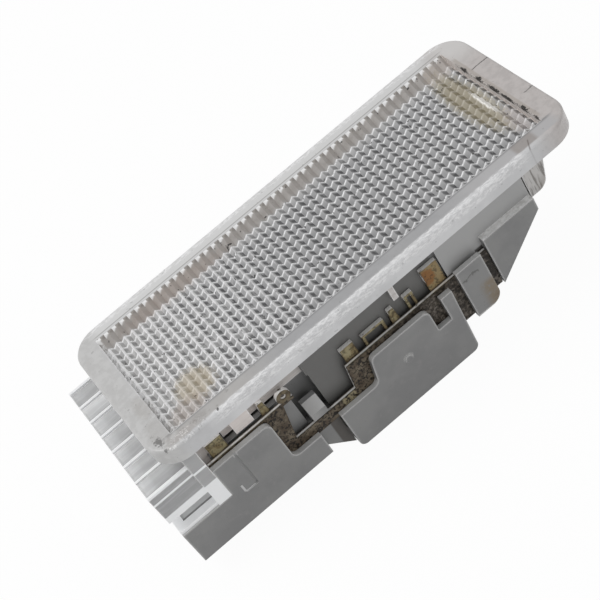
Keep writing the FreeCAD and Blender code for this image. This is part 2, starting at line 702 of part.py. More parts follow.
def build_bulb():
    """Festoon bulb: glass tube between two brass caps, with the filament on its lead wires."""
    half = s.bulb_length / 2
    glass = half - s.cap_length
    wall = s.glass_wall
    inner = s.bulb_radius - wall
    neck = s.neck_radius
    tube = [(-glass, neck), (-glass + s.shoulder, s.bulb_radius), (glass - s.shoulder, s.bulb_radius),
            (glass, neck), (glass, neck - wall), (glass - s.shoulder, inner), (-glass + s.shoulder, inner),
            (-glass, neck - wall)]
    pieces = [revolve("bulb_glass", tube)]
    for label, sign in (("bulb_cap_left", -1), ("bulb_cap_right", 1)):
        cap = [(glass * sign, 0), (glass * sign, s.cap_radius), ((half - s.cap_cone) * sign, s.cap_radius),
               (half * sign, s.cap_tip_radius), (half * sign, 0)]
        pieces.append(revolve(label, cap))
    coil = s.coil_length / 2
    wire = [(-glass, 0), (-glass, s.lead_radius), (-coil, s.lead_radius), (-coil, s.coil_radius),
            (coil, s.coil_radius), (coil, s.lead_radius), (glass, s.lead_radius), (glass, 0)]
    pieces.append(revolve("bulb_filament", wire))
    return pieces


parts = [build_lens(), build_housing()]
parts.append(build_rail("near", tab1_right, tab1_right - s.rail_thickness))
parts.append(build_rail("far", tab5_right, contact_right))
parts.append(build_spring())
parts.extend(build_bulb())
doc.recompute()

for item in doc.Objects:
    if "Invalid" in item.State or "Error" in item.State:
        raise RuntimeError(f"{item.Label} failed")
for part in parts:
    if part.Shape.isNull() or not part.Shape.isValid():
        raise RuntimeError(f"{part.Label} has no valid shape")
os.makedirs("parts", exist_ok=True)
for part in parts:
    part.Shape.exportStep(f"parts/{part.Label}.step")
    print(part.Label, len(part.Shape.Solids), "solids", round(part.Shape.Volume, 1), "mm3")
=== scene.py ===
import bpy
import math
from mathutils import Matrix, Vector


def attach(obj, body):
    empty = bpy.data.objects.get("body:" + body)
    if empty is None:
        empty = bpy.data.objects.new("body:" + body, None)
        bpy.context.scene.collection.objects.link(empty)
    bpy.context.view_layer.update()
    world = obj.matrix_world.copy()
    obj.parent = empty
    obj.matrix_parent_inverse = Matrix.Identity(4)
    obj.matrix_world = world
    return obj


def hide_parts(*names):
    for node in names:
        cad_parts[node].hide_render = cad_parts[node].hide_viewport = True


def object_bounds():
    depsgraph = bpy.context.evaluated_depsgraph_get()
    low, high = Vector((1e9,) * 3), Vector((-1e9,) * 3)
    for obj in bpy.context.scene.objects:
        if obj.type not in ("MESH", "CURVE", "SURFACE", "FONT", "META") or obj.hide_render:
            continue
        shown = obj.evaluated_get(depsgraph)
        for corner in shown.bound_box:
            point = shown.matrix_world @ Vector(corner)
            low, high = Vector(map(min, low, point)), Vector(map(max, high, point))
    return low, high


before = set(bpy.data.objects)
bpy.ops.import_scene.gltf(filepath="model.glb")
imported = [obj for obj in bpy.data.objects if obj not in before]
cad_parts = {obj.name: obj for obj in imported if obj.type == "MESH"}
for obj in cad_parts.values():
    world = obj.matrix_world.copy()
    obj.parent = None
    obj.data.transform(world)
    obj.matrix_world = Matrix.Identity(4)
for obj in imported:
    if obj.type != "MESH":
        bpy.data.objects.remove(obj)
cad_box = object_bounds()

# Housing: one grey injection moulding, a tub with stepped side panels that guide the contact rails.
# Its edges carry the small radius of the mould, and its colour has painted highlights on edges and painted
# shade in recesses.

def dressed_copy(node, edge_radius):
    """A copy of a moulded or stamped piece with its sharp edges broken."""
    bpy.ops.object.select_all(action="DESELECT")
    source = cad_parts[node]
    piece = bpy.data.objects.new(f"{node}_dressed", source.data.copy())
    bpy.context.scene.collection.objects.link(piece)
    bpy.context.view_layer.objects.active = piece
    piece.select_set(True)
    bpy.ops.object.mode_set(mode="EDIT")
    bpy.ops.mesh.select_all(action="SELECT")
    bpy.ops.mesh.customdata_custom_splitnormals_clear()
    bpy.ops.mesh.remove_doubles(threshold=0.000002)
    bpy.ops.mesh.dissolve_limited(angle_limit=math.radians(1.0))
    bpy.ops.object.mode_set(mode="OBJECT")
    bevel = piece.modifiers.new("edge_break", "BEVEL")
    bevel.width = edge_radius
    bevel.segments = 3
    bevel.limit_method = "ANGLE"
    bevel.angle_limit = math.radians(35)
    bevel.use_clamp_overlap = True
    bpy.ops.object.modifier_apply(modifier="edge_break")
    bpy.ops.object.shade_smooth_by_angle(angle=math.radians(40))
    level = piece.modifiers.new("level_faces", "WEIGHTED_NORMAL")
    level.mode = "FACE_AREA"
    level.weight = 100
    level.keep_sharp = True
    bpy.ops.object.modifier_apply(modifier="level_faces")
    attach(piece, "root")
    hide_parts(node)
    return piece


def finish_tree(name):
    """A new finish with its shader, and the place on the piece in millimetres."""
    finish = bpy.data.materials.new(name)
    finish.use_nodes = True
    tree = finish.node_tree
    shader = tree.nodes["Principled BSDF"]
    place = tree.nodes.new("ShaderNodeTexCoord").outputs["Object"]
    scaled = tree.nodes.new("ShaderNodeVectorMath")
    scaled.operation = "SCALE"
    scaled.inputs["Scale"].default_value = 1000.0
    tree.links.new(place, scaled.inputs[0])
    return finish, tree, shader, scaled.outputs[0]


def feed(tree, value, socket):
    """Sets a socket, or links it where the value comes from another node."""
    if isinstance(value, bpy.types.NodeSocket):
        tree.links.new(value, socket)
    else:
        socket.default_value = value


def sum_of(tree, operation, a, b=0.0):
    """One step of arithmetic on one or two values."""
    node = tree.nodes.new("ShaderNodeMath")
    node.operation = operation
    feed(tree, a, node.inputs[0])
    feed(tree, b, node.inputs[1])
    return node.outputs[0]


def absolute(tree, value):
    """A value without its sign."""
    return sum_of(tree, "ABSOLUTE", value)


def either(tree, first, second):
    """The larger of two masks."""
    return sum_of(tree, "MAXIMUM", first, second)


def without(tree, mask):
    """1 where the mask is 0, and 0 where it is 1."""
    return sum_of(tree, "SUBTRACT", 1.0, mask)


def fade(tree, value, start, end):
    """Rises softly from 0 at start to 1 at end."""
    node = tree.nodes.new("ShaderNodeMapRange")
    node.interpolation_type = "SMOOTHSTEP"
    feed(tree, value, node.inputs["Value"])
    node.inputs["From Min"].default_value = start
    node.inputs["From Max"].default_value = end
    return node.outputs["Result"]


def times(tree, first, *others):
    """Product of masks."""
    for other in others:
        first = sum_of(tree, "MULTIPLY", first, other)
    return first


def band(tree, value, low, high, soft):
    """1 between low and high, falling to 0 over the soft distance outside them."""
    return times(tree, fade(tree, value, low - soft, low), fade(tree, value, high + soft, high))


def speckle(tree, place, per_mm, detail=4.0, roughness=0.6):
    """An uneven pattern from 0 to 1, with per_mm patches in a millimetre."""
    node = tree.nodes.new("ShaderNodeTexNoise")
    feed(tree, place, node.inputs["Vector"])
    node.inputs["Scale"].default_value = per_mm
    node.inputs["Detail"].default_value = detail
    node.inputs["Roughness"].default_value = roughness
    return node.outputs["Fac"]


def blended(tree, factor, under, over):
    """One colour laid over another as far as the factor says. The numbered sockets are the colour ones."""
    node = tree.nodes.new("ShaderNodeMix")
    node.data_type = "RGBA"
    feed(tree, factor, node.inputs["Factor"])
    feed(tree, under, node.inputs[6])
    feed(tree, over, node.inputs[7])
    return node.outputs[2]


def parted(tree, place):
    """The three parts of a place or a direction."""
    node = tree.nodes.new("ShaderNodeSeparateXYZ")
    tree.links.new(place, node.inputs[0])
    return node.outputs[0], node.outputs[1], node.outputs[2]


def own_direction(tree, direction, kind):
    """The three parts of a direction, along the piece's own axes."""
    turn = tree.nodes.new("ShaderNodeVectorTransform")
    turn.vector_type = kind
    turn.convert_from = "WORLD"
    turn.convert_to = "OBJECT"
    tree.links.new(direction, turn.inputs[0])
    return parted(tree, turn.outputs[0])


def facing(tree):
    """The way that the surface faces."""
    return own_direction(tree, tree.nodes.new("ShaderNodeNewGeometry").outputs["True Normal"], "NORMAL")


def dented(tree, shader, height, depth):
    """Surface relief from a height pattern, depth in metres."""
    node = tree.nodes.new("ShaderNodeBump")
    node.inputs["Strength"].default_value = 1.0
    node.inputs["Distance"].default_value = depth
    feed(tree, height, node.inputs["Height"])
    tree.links.new(node.outputs[0], shader.inputs["Normal"])


def edge_tilt(tree, reach):
    """How the surface would turn if its edges were rounded over the reach, in metres."""
    rounded = tree.nodes.new("ShaderNodeBevel")
    rounded.samples = 4
    rounded.inputs["Radius"].default_value = reach
    change = tree.nodes.new("ShaderNodeVectorMath")
    change.operation = "SUBTRACT"
    tree.links.new(rounded.outputs[0], change.inputs[0])
    tree.links.new(tree.nodes.new("ShaderNodeNewGeometry").outputs["True Normal"], change.inputs[1])
    return own_direction(tree, change.outputs[0], "VECTOR")


def dress(piece, finish):
    """Gives a piece one finish and no other."""
    piece.data.materials.clear()
    piece.data.materials.append(finish)


# In metres: radius of the edges, reach of the painted rim highlights and depth of the grain.
mould_radius = 0.00028
rim_reach = 0.0005
grain_depth = 0.000012
housing = dressed_copy("housing", mould_radius)
grey_plastic, tree, shader, place = finish_tree("grey_plastic")
x, y, z = parted(tree, place)
out = absolute(tree, y)
nx, ny, nz = facing(tree)
squareness = either(tree, absolute(tree, nx), absolute(tree, ny))
squareness = either(tree, squareness, absolute(tree, nz))

# Moulded grey: cloudy, with smudges and dark flecks; painted highlights make the upward-facing edges and the
# panels' tops paler.
cloud = speckle(tree, place, 0.12, 3.0)
grain = speckle(tree, place, 9.0, 3.0)
smudge = speckle(tree, place, 0.7, 5.0, 0.7)
grey = blended(tree, fade(tree, cloud, 0.35, 0.65), (0.195, 0.195, 0.196, 1), (0.232, 0.232, 0.23, 1))
grey = blended(tree, times(tree, fade(tree, smudge, 0.55, 0.72), 0.4), grey, (0.27, 0.265, 0.257, 1))
fleck = fade(tree, speckle(tree, place, 2.8, 2.0), 0.7, 0.75)
grey = blended(tree, times(tree, fleck, 0.5), grey, (0.08, 0.075, 0.07, 1))
# Painted highlight on the rounded edges that turn upward.
edge_highlight = times(tree, fade(tree, squareness, 0.985, 0.9), fade(tree, nz, -0.2, 0.2), 0.75)
grey = blended(tree, edge_highlight, grey, (0.52, 0.52, 0.515, 1))
# Painted light: the panels' tops, facing up, are paler.
lit_panel_top = times(tree, fade(tree, nz, 0.4, 0.7), fade(tree, out, 14.2, 14.35), fade(tree, z, -5.5, -6.0))
grey = blended(tree, times(tree, lit_panel_top, 0.8), grey, (0.55, 0.55, 0.545, 1))

# Painted light makes the wall along the right half paler, and painted shade makes the tub's side behind the
# rail darker.
lit_wall = times(tree, band(tree, x, 11.0, 29.3, 0.1), band(tree, out, 13.3, 13.5, 0.05))
lit_wall = times(tree, lit_wall, fade(tree, z, -9.5, -9.3), 0.8)
grey = blended(tree, lit_wall, grey, (0.42, 0.42, 0.418, 1))
# Painted shade on the tub's side behind the rail, under the flange.
tub_side_shade = times(tree, band(tree, x, -15.0, 10.5, 0.3), band(tree, out, 12.3, 12.6, 0.05))
tub_side_shade = times(tree, tub_side_shade, fade(tree, z, -17.0, -16.6), 0.75)
grey = blended(tree, tub_side_shade, grey, (0.1, 0.098, 0.092, 1))

# Rims: a painted highlight, a thin pale line where a panel's edge turns over, but not beside the scored line.
tilt_x, _, tilt_z = edge_tilt(tree, rim_reach)
rim_highlight = sum_of(tree, "ADD", tilt_z, times(tree, absolute(tree, tilt_x), 0.5))
rim_highlight = times(tree, fade(tree, rim_highlight, 0.05, 0.25), fade(tree, out, 14.25, 14.4))
scored = times(tree, band(tree, x, -33.9, -29.9, 0.1), fade(tree, z, -7.3, -7.6))
rim_highlight = times(tree, rim_highlight, without(tree, scored), fade(tree, nz, -0.6, -0.3))
grey = blended(tree, times(tree, rim_highlight, 0.85), grey, (0.56, 0.56, 0.555, 1))

# Boss: a worn foot, a brown stain and a bowed dark mark.
boss = times(tree, band(tree, x, 12.1, 17.3, 0.1), fade(tree, out, 15.0, 15.15), fade(tree, z, -8.2, -8.5))
boss_foot = times(tree, boss, fade(tree, tilt_z, -0.04, -0.16), fade(tree, z, -15.5, -16.5))
grey = blended(tree, boss_foot, grey, (0.75, 0.74, 0.72, 1))
boss_stain = times(tree, boss, fade(tree, x, 14.0, 16.0), band(tree, z, -18.5, -14.5, 1.5), 0.85)
grey = blended(tree, times(tree, boss_stain, fade(tree, smudge, 0.3, 0.5)), grey, (0.2, 0.155, 0.1, 1))
bent = sum_of(tree, "ADD", z, times(tree, sum_of(tree, "SUBTRACT", smudge, 0.5), 3.0))
boss_mark = fade(tree, absolute(tree, sum_of(tree, "ADD", bent, 10.8)), 0.22, 0.06)
boss_mark = times(tree, boss_mark, boss, band(tree, x, 12.6, 15.6, 0.3), 0.7)
grey = blended(tree, boss_mark, grey, (0.06, 0.058, 0.055, 1))

# Small places with painted shade and light: the slit painted dark as shade, and the ledge, the top of the fin
# and the rail tongue painted light.
slit_shade = times(tree, band(tree, x, 17.25, 18.65, 0.04), fade(tree, out, 14.2, 14.1), fade(tree, z, -8.6, -9.0))
grey = blended(tree, times(tree, slit_shade, 0.9), grey, (0.025, 0.022, 0.018, 1))
# Painted light on the ledge under the clear heel.
lit_ledge = times(tree, band(tree, z, -13.4, -13.0, 0.1), band(tree, out, 11.0, 12.5, 0.1))
lit_ledge = times(tree, lit_ledge, fade(tree, x, -36.5, -37.0), 0.8)
grey = blended(tree, lit_ledge, grey, (0.62, 0.625, 0.63, 1))
# Painted highlight along the top of the fin.
lit_fin_top = times(tree, band(tree, z, -7.4, -6.7, 0.1), fade(tree, nz, 0.5, 0.8), fade(tree, x, 16.5, 17.5))
lit_fin_top = times(tree, lit_fin_top, fade(tree, out, 13.3, 13.45), 0.95)
fin_top_light = blended(tree, fade(tree, smudge, 0.4, 0.6), (0.95, 0.95, 0.945, 1), (0.72, 0.715, 0.7, 1))
grey = blended(tree, lit_fin_top, grey, fin_top_light)
# Painted light on the tongue, brightest on its left.
lit_tongue = times(tree, band(tree, x, -18.3, -15.4, 0.1), band(tree, z, -14.3, -10.7, 0.1))
lit_tongue = times(tree, lit_tongue, fade(tree, out, 12.45, 12.6), fade(tree, x, -15.4, -18.0))
grey = blended(tree, times(tree, lit_tongue, 0.8), grey, (0.34, 0.337, 0.333, 1))

# Scored line with its hook on the left panel, its groove floor painted lighter against its shade, and rust
# washed down from the rails.
score = band(tree, out, 14.85, 15.15, 0.05)
hook = times(tree, score, band(tree, x, -33.3, -31.2, 0.1), band(tree, z, -15.1, -12.9, 0.1))
grey = blended(tree, times(tree, hook, 0.9), grey, (0.75, 0.75, 0.75, 1))
groove_floor_light = times(tree, score, band(tree, x, -31.0, -30.5, 0.05), fade(tree, z, -14.6, -14.4))
grey = blended(tree, times(tree, groove_floor_light, 0.45), grey, (0.36, 0.36, 0.36, 1))
rust_run = times(tree, fade(tree, z, -16.4, -18.4), fade(tree, x, 15.2, 16.8), fade(tree, smudge, 0.4, 0.6))
gusset_rust = times(tree, band(tree, x, -16.3, -14.4, 0.3), fade(tree, z, -16.5, -16.8))
gusset_rust = times(tree, gusset_rust, band(tree, out, 13.2, 13.4, 0.1))
grey = blended(tree, times(tree, rust_run, 0.75), grey, (0.13, 0.09, 0.055, 1))
grey = blended(tree, times(tree, gusset_rust, 0.9), grey, (0.05, 0.041, 0.033, 1))
feed(tree, grey, shader.inputs["Base Color"])
feed(tree, sum_of(tree, "ADD", times(tree, grain, 0.25), 0.3), shader.inputs["Roughness"])
dented(tree, shader, grain, grain_depth)
dress(housing, grey_plastic)

# Contact rails: strips stamped from plated steel sheet, pressed into the side slots of the housing.
# The cut edges are bare metal with a painted highlight, and the sheet between them is brown with rust and
# pitted black.

# Radius of the edges, reach of the rust and depth of the pits, in metres. In millimetres: where the strip
# steps down, the feet of the tabs on either side, and the middle and bare half width of the sheet's edge.
stamped_radius = 0.00009
rust_reach = 0.0004
pit_depth = 0.00008
step_x = -18.0
left_foot = -6.5
right_foot = -9.4
sheet_middle = 13.82
bare_half = 0.14
rusty_steel, tree, shader, place = finish_tree("rusty_steel")
x, y, z = parted(tree, place)
sheet_side = absolute(tree, facing(tree)[1])
patches = speckle(tree, place, 0.5, 5.0, 0.65)
pits = speckle(tree, place, 1.5, 4.0, 0.65)
fine_pits = speckle(tree, place, 3.0, 3.0, 0.6)
steel = blended(tree, fade(tree, patches, 0.38, 0.62), (0.16, 0.132, 0.095, 1), (0.075, 0.056, 0.039, 1))
steel = blended(tree, times(tree, fade(tree, x, -6.0, 1.0), 0.75), steel, (0.04, 0.034, 0.028, 1))
tan = times(tree, band(tree, x, -12.8, -10.6, 0.4), band(tree, z, -16.8, -13.2, 0.4))
tan = times(tree, tan, fade(tree, patches, 0.66, 0.54), 0.85)
steel = blended(tree, tan, steel, (0.3, 0.26, 0.165, 1))

# Tabs and eye: cleaner metal above the strip, with an orange burn on the last tab.
past_step = fade(tree, x, step_x, step_x + 0.5)
before_step = without(tree, past_step)
raised = times(tree, fade(tree, z, right_foot - 0.1, right_foot + 0.1), past_step)
left_raised = times(tree, fade(tree, z, left_foot - 0.1, left_foot + 0.1), before_step)
raised = either(tree, raised, left_raised)
tab_metal = blended(tree, fade(tree, patches, 0.42, 0.6), (0.31, 0.27, 0.16, 1), (0.2, 0.155, 0.08, 1))
last_tab = fade(tree, x, 7.6, 8.0)
tab_metal = blended(tree, times(tree, last_tab, 0.7), tab_metal, (0.27, 0.19, 0.09, 1))
burnt_x = sum_of(tree, "DIVIDE", sum_of(tree, "SUBTRACT", x, 8.7), 1.5)
burnt_z = sum_of(tree, "DIVIDE", sum_of(tree, "ADD", z, 6.7), 1.7)
burnt = sum_of(tree, "ADD", times(tree, burnt_x, burnt_x), times(tree, burnt_z, burnt_z))
burnt = sum_of(tree, "ADD", burnt, times(tree, sum_of(tree, "SUBTRACT", pits, 0.5), 2.5))
burnt = times(tree, last_tab, fade(tree, burnt, 1.0, 0.5))
tab_metal = blended(tree, times(tree, burnt, 0.85), tab_metal, (0.23, 0.1, 0.03, 1))
eye = times(tree, band(tree, x, -21.4, -18.0, 0.1), fade(tree, z, -7.6, -7.3))
tab_metal = blended(tree, times(tree, eye, 0.8), tab_metal, (0.12, 0.095, 0.065, 1))
steel = blended(tree, raised, steel, tab_metal)
steel = blended(tree, fade(tree, x, 13.6, 15.5), steel, (0.035, 0.029, 0.024, 1))

# Pits all over the strip, and worn flecks towards the right.
clean = without(tree, times(tree, raised, 0.45))
steel = blended(tree, times(tree, fade(tree, pits, 0.53, 0.57), clean), steel, (0.014, 0.011, 0.008, 1))
plate = without(tree, raised)
pitted = times(tree, fade(tree, fine_pits, 0.53, 0.58), plate, 0.8)
steel = blended(tree, pitted, steel, (0.016, 0.012, 0.009, 1))
worn_fleck = times(tree, fade(tree, pits, 0.46, 0.39), plate, fade(tree, x, 0.0, 5.0), 0.8)
steel = blended(tree, worn_fleck, steel, (0.16, 0.14, 0.12, 1))

# Edges: rust creeps in along the faces, and the middle of the cut is bare metal, painted near white as a
# highlight, also on the tops of the tabs.
turn_x, _, turn_z = edge_tilt(tree, rust_reach)
rusted = either(tree, absolute(tree, turn_x), absolute(tree, turn_z))
rusted = times(tree, fade(tree, rusted, 0.12, 0.4), fade(tree, sheet_side, 0.8, 0.95))
ragged = times(tree, raised, fade(tree, pits, 0.4, 0.5))
ragged = either(tree, ragged, fade(tree, patches, 0.36, 0.52))
rusted = times(tree, rusted, ragged, 0.85)
steel = blended(tree, rusted, steel, (0.04, 0.029, 0.018, 1))
cut_edge = fade(tree, sheet_side, 0.9, 0.5)
tab_top = times(tree, fade(tree, z, -7.6, -7.2), past_step)
left_tab_top = times(tree, fade(tree, z, -5.6, -5.2), before_step)
tab_top = either(tree, tab_top, left_tab_top)
bare = band(tree, absolute(tree, y), sheet_middle - bare_half, sheet_middle + bare_half, 0.1)
bare = either(tree, bare, tab_top)
steel = blended(tree, times(tree, cut_edge, 0.75), steel, (0.06, 0.05, 0.04, 1))
bare_edge_highlight = times(tree, cut_edge, bare, fade(tree, patches, 0.7, 0.56))
steel = blended(tree, bare_edge_highlight, steel, (0.95, 0.94, 0.92, 1))
feed(tree, steel, shader.inputs["Base Color"])
feed(tree, sum_of(tree, "ADD", times(tree, bare_edge_highlight, 0.2), 0.1), shader.inputs["Metallic"])
feed(tree, sum_of(tree, "ADD", times(tree, patches, 0.4), 0.25), shader.inputs["Roughness"])
shader.inputs["Specular IOR Level"].default_value = 0.2
dented(tree, shader, pits, pit_depth)
for node in ("contact_rail_near", "contact_rail_far"):
    rail = dressed_copy(node, stamped_radius)
    dress(rail, rusty_steel)

# Festoon bulb: a clear glass tube sealed into two drawn brass caps, held between the rails' arms.
# The coil hangs on two lead wires along the middle of the tube.
clear_glass, tree, shader, place = finish_tree("clear_glass")
shader.inputs["Transmission Weight"].default_value = 1.0
shader.inputs["IOR"].default_value = 1.5
smear = speckle(tree, place, 0.5, 3.0)
smeared = blended(tree, fade(tree, smear, 0.4, 0.7), (0.95, 0.95, 0.94, 1), (0.86, 0.85, 0.82, 1))
feed(tree, smeared, shader.inputs["Base Color"])
feed(tree, sum_of(tree, "MULTIPLY", smear, 0.12), shader.inputs["Roughness"])
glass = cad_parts["bulb_glass"]
dress(glass, clear_glass)

dull_brass, tree, shader, place = finish_tree("dull_brass")
stain = speckle(tree, place, 0.8, 5.0)
brass = blended(tree, fade(tree, stain, 0.42, 0.62), (0.5, 0.43, 0.28, 1), (0.24, 0.19, 0.11, 1))
feed(tree, brass, shader.inputs["Base Color"])
shader.inputs["Metallic"].default_value = 1.0
feed(tree, sum_of(tree, "ADD", sum_of(tree, "MULTIPLY", stain, 0.4), 0.2), shader.inputs["Roughness"])
for node in ("bulb_cap_left", "bulb_cap_right"):
    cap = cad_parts[node]
    dress(cap, dull_brass)

drawn_wire, tree, shader, place = finish_tree("drawn_wire")
coil_turns = tree.nodes.new("ShaderNodeTexWave")
tree.links.new(place, coil_turns.inputs["Vector"])
coil_turns.inputs["Scale"].default_value = 3.0
turns = blended(tree, coil_turns.outputs["Fac"], (0.2, 0.2, 0.21, 1), (0.42, 0.42, 0.43, 1))
feed(tree, turns, shader.inputs["Base Color"])
shader.inputs["Metallic"].default_value = 1.0
shader.inputs["Roughness"].default_value = 0.4
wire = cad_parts["bulb_filament"]
dress(wire, drawn_wire)

# Lens: one clear moulding with a frosted flange, a field of gabled prisms and a ribbed heel.
# The crests of the prisms carry painted highlights, and dirt, scuffs and brown stains lie on its borders.

def drawn_out(tree, place, scale):
    """The place drawn out along the directions with a small scale, for streaks."""
    node = tree.nodes.new("ShaderNodeMapping")
    tree.links.new(place, node.inputs["Vector"])
    node.inputs["Scale"].default_value = scale
    return node.outputs[0]


# Prism field and heel ribs in millimetres, and the reach of the painted glints and the depth of the surface
# relief in metres.
field_half_length = 36.0
field_half_width = 13.5
ramp_width = 2.4
columns = 46
rows = 14
column_pitch = 2 * field_half_length / columns
row_pitch = (2 * field_half_width - ramp_width) / rows
ramp_line = field_half_width - ramp_width
heel_half_width = 15.0
heel_ribs = 7
rib_span = 29.5
rib_pitch = rib_span / heel_ribs
glint_reach = 0.0003
relief_depth = 0.00002
lens_plastic, tree, shader, place = finish_tree("lens_plastic")
x, y, z = parted(tree, place)
across = absolute(tree, y)
along = absolute(tree, x)
scuff = speckle(tree, place, 2.2, 6.0, 0.75)
haze = speckle(tree, place, 0.16, 4.0, 0.6)
mottle = speckle(tree, place, 0.6, 4.0, 0.65)
field = fade(tree, along, field_half_length + 0.15, field_half_length - 0.05)
field = times(tree, field, fade(tree, across, field_half_width + 0.15, field_half_width - 0.05))
field = times(tree, field, fade(tree, z, 0.6, 0.9))

# Prisms: columns along the lamp and rows across it, with painted light and shade: each slope brightens
# towards its crest, one flank is painted lit and the other shaded, and ridges and crests carry painted
# highlights.
sway = times(tree, sum_of(tree, "SUBTRACT", speckle(tree, place, 0.9, 2.0), 0.5), 0.5)
tooth = sum_of(tree, "DIVIDE", sum_of(tree, "ADD", x, field_half_length), column_pitch)
tooth = sum_of(tree, "FRACT", sum_of(tree, "ADD", tooth, times(tree, sway, 0.3)))
row = sum_of(tree, "DIVIDE", sum_of(tree, "ADD", y, field_half_width), row_pitch)
row = sum_of(tree, "FRACT", row)
left_part = fade(tree, x, 2.0, -24.0)
left_end = fade(tree, x, -14.0, -36.0)
ramp = fade(tree, y, ramp_line - 0.05, ramp_line + 0.05)
flank = fade(tree, tooth, 0.44, 0.56)
lit_side = blended(tree, row, (0.25, 0.25, 0.255, 1), (0.42, 0.42, 0.425, 1))
shaded_side = blended(tree, row, (0.09, 0.09, 0.093, 1), (0.26, 0.26, 0.264, 1))
facet = blended(tree, flank, lit_side, shaded_side)
facet = blended(tree, times(tree, fade(tree, mottle, 0.42, 0.62), 0.5), facet, (0.37, 0.37, 0.375, 1))
# Painted shadow: a dark dash on the shaded flank under each crest.
crest_shadow = times(tree, flank, band(tree, row, 0.5, 0.68, 0.08), fade(tree, scuff, 0.4, 0.5), 0.75)
facet = blended(tree, crest_shadow, facet, (0.06, 0.06, 0.062, 1))
facet = blended(tree, times(tree, left_end, 0.35), facet, (0.62, 0.61, 0.6, 1))
milky = times(tree, left_part, fade(tree, mottle, 0.47, 0.6), 0.45)
facet = blended(tree, milky, facet, (0.64, 0.635, 0.63, 1))
first_row = times(tree, fade(tree, y, 9.2, 10.6), 0.35)
facet = blended(tree, first_row, facet, (0.58, 0.575, 0.57, 1))
ridge = fade(tree, absolute(tree, sum_of(tree, "SUBTRACT", tooth, 0.5)), 0.19, 0.07)
ridge = times(tree, ridge, sum_of(tree, "ADD", times(tree, left_part, 0.9), 0.08))
crest = fade(tree, row, 0.76, 0.93)
lit_line = times(tree, either(tree, ridge, crest), without(tree, ramp))
lit_line = times(tree, lit_line, sum_of(tree, "ADD", times(tree, fade(tree, scuff, 0.35, 0.55), 0.6), 0.35))
facet = blended(tree, lit_line, facet, (0.9, 0.9, 0.905, 1))
# Ramp flutes: one flank painted a little darker as shade; at the top, the scallops are painted lit on one
# flank and shaded on the other.
flute = blended(tree, flank, (0.36, 0.338, 0.32, 1), (0.4, 0.372, 0.35, 1))
flute = blended(tree, times(tree, fade(tree, mottle, 0.4, 0.6), 0.6), flute, (0.45, 0.43, 0.412, 1))
scallop_light_and_shade = blended(tree, flank, (0.85, 0.85, 0.85, 1), (0.3, 0.28, 0.26, 1))
flute = blended(tree, fade(tree, y, 12.75, 13.1), flute, scallop_light_and_shade)
ramp_foot = times(tree, fade(tree, y, 12.0, ramp_line), 0.75)
flute = blended(tree, ramp_foot, flute, (0.56, 0.552, 0.545, 1))
facet = blended(tree, ramp, facet, flute)
rear = fade(tree, facing(tree)[1], 0.3, 0.6)
facet = blended(tree, times(tree, rear, without(tree, ramp)), facet, (0.5, 0.5, 0.505, 1))
end_wall = fade(tree, x, 35.75, 35.9)
facet = blended(tree, end_wall, facet, (0.75, 0.705, 0.675, 1))
# Painted highlight: a broken white line along the field's left end.
left_seam_highlight = times(tree, fade(tree, x, -35.2, -35.6), fade(tree, scuff, 0.42, 0.52))
facet = blended(tree, times(tree, left_seam_highlight, 0.8), facet, (0.85, 0.85, 0.85, 1))

# Flange: frosted, darker along the near side of the field, with scratches and a painted highlight along its
# rounded edges and a faint line along the far border.
frost = blended(tree, fade(tree, haze, 0.38, 0.62), (0.53, 0.532, 0.54, 1), (0.59, 0.592, 0.6, 1))
frost = blended(tree, fade(tree, y, 12.5, 14.5), frost, (0.655, 0.654, 0.652, 1))
frost = blended(tree, fade(tree, x, -34.5, -37.5), frost, (0.51, 0.507, 0.502, 1))
pink = blended(tree, fade(tree, mottle, 0.4, 0.62), (0.53, 0.498, 0.485, 1), (0.47, 0.442, 0.43, 1))
frost = blended(tree, fade(tree, x, 31.0, 37.0), frost, pink)
far_corner = times(tree, fade(tree, x, 33.0, 37.0), fade(tree, y, 6.0, 13.0))
frost = blended(tree, far_corner, frost, (0.62, 0.605, 0.595, 1))
near_frost = blended(tree, fade(tree, haze, 0.4, 0.6), (0.6, 0.602, 0.61, 1), (0.67, 0.672, 0.68, 1))
near_side = times(tree, fade(tree, y, -12.5, -14.0), band(tree, x, -29.5, 28.5, 3.0))
frost = blended(tree, near_side, frost, near_frost)
near_top = times(tree, fade(tree, y, -13.3, -13.5), fade(tree, y, -16.1, -15.7))
near_top = times(tree, near_top, fade(tree, along, 38.5, 36.5))
near_top = times(tree, near_top, sum_of(tree, "ADD", times(tree, mottle, 0.3), 0.8))
near_tint = blended(tree, fade(tree, x, 12.0, 26.0), (0.365, 0.365, 0.372, 1), (0.45, 0.445, 0.45, 1))
near_tint = blended(tree, fade(tree, x, -14.0, -26.0), near_tint, (0.43, 0.418, 0.408, 1))
near_tint = blended(tree, band(tree, x, 29.8, 33.0, 0.8), near_tint, (0.335, 0.31, 0.297, 1))
near_tint = blended(tree, times(tree, fade(tree, y, -14.1, -13.6), 0.7), near_tint, (0.2, 0.2, 0.203, 1))
frost = blended(tree, near_top, frost, near_tint)
patchy = times(tree, fade(tree, x, -34.5, -36.0), fade(tree, mottle, 0.42, 0.62), 0.6)
frost = blended(tree, patchy, frost, (0.6, 0.598, 0.595, 1))
scratch = speckle(tree, drawn_out(tree, place, (0.4, 1.0, 1.0)), 3.2, 5.0, 0.7)
scuffs_and_edge_highlight = times(tree, fade(tree, scratch, 0.42, 0.62), fade(tree, along, 39.0, 36.0))
near_edge = times(tree, band(tree, y, -16.9, -16.1, 0.6), fade(tree, z, 1.2, 2.0), 0.9)
near_edge = times(tree, near_edge, band(tree, x, -27.5, 28.0, 4.0))
far_edge = times(tree, fade(tree, y, 15.0, 15.8), fade(tree, z, 1.6, 2.4), 0.85)
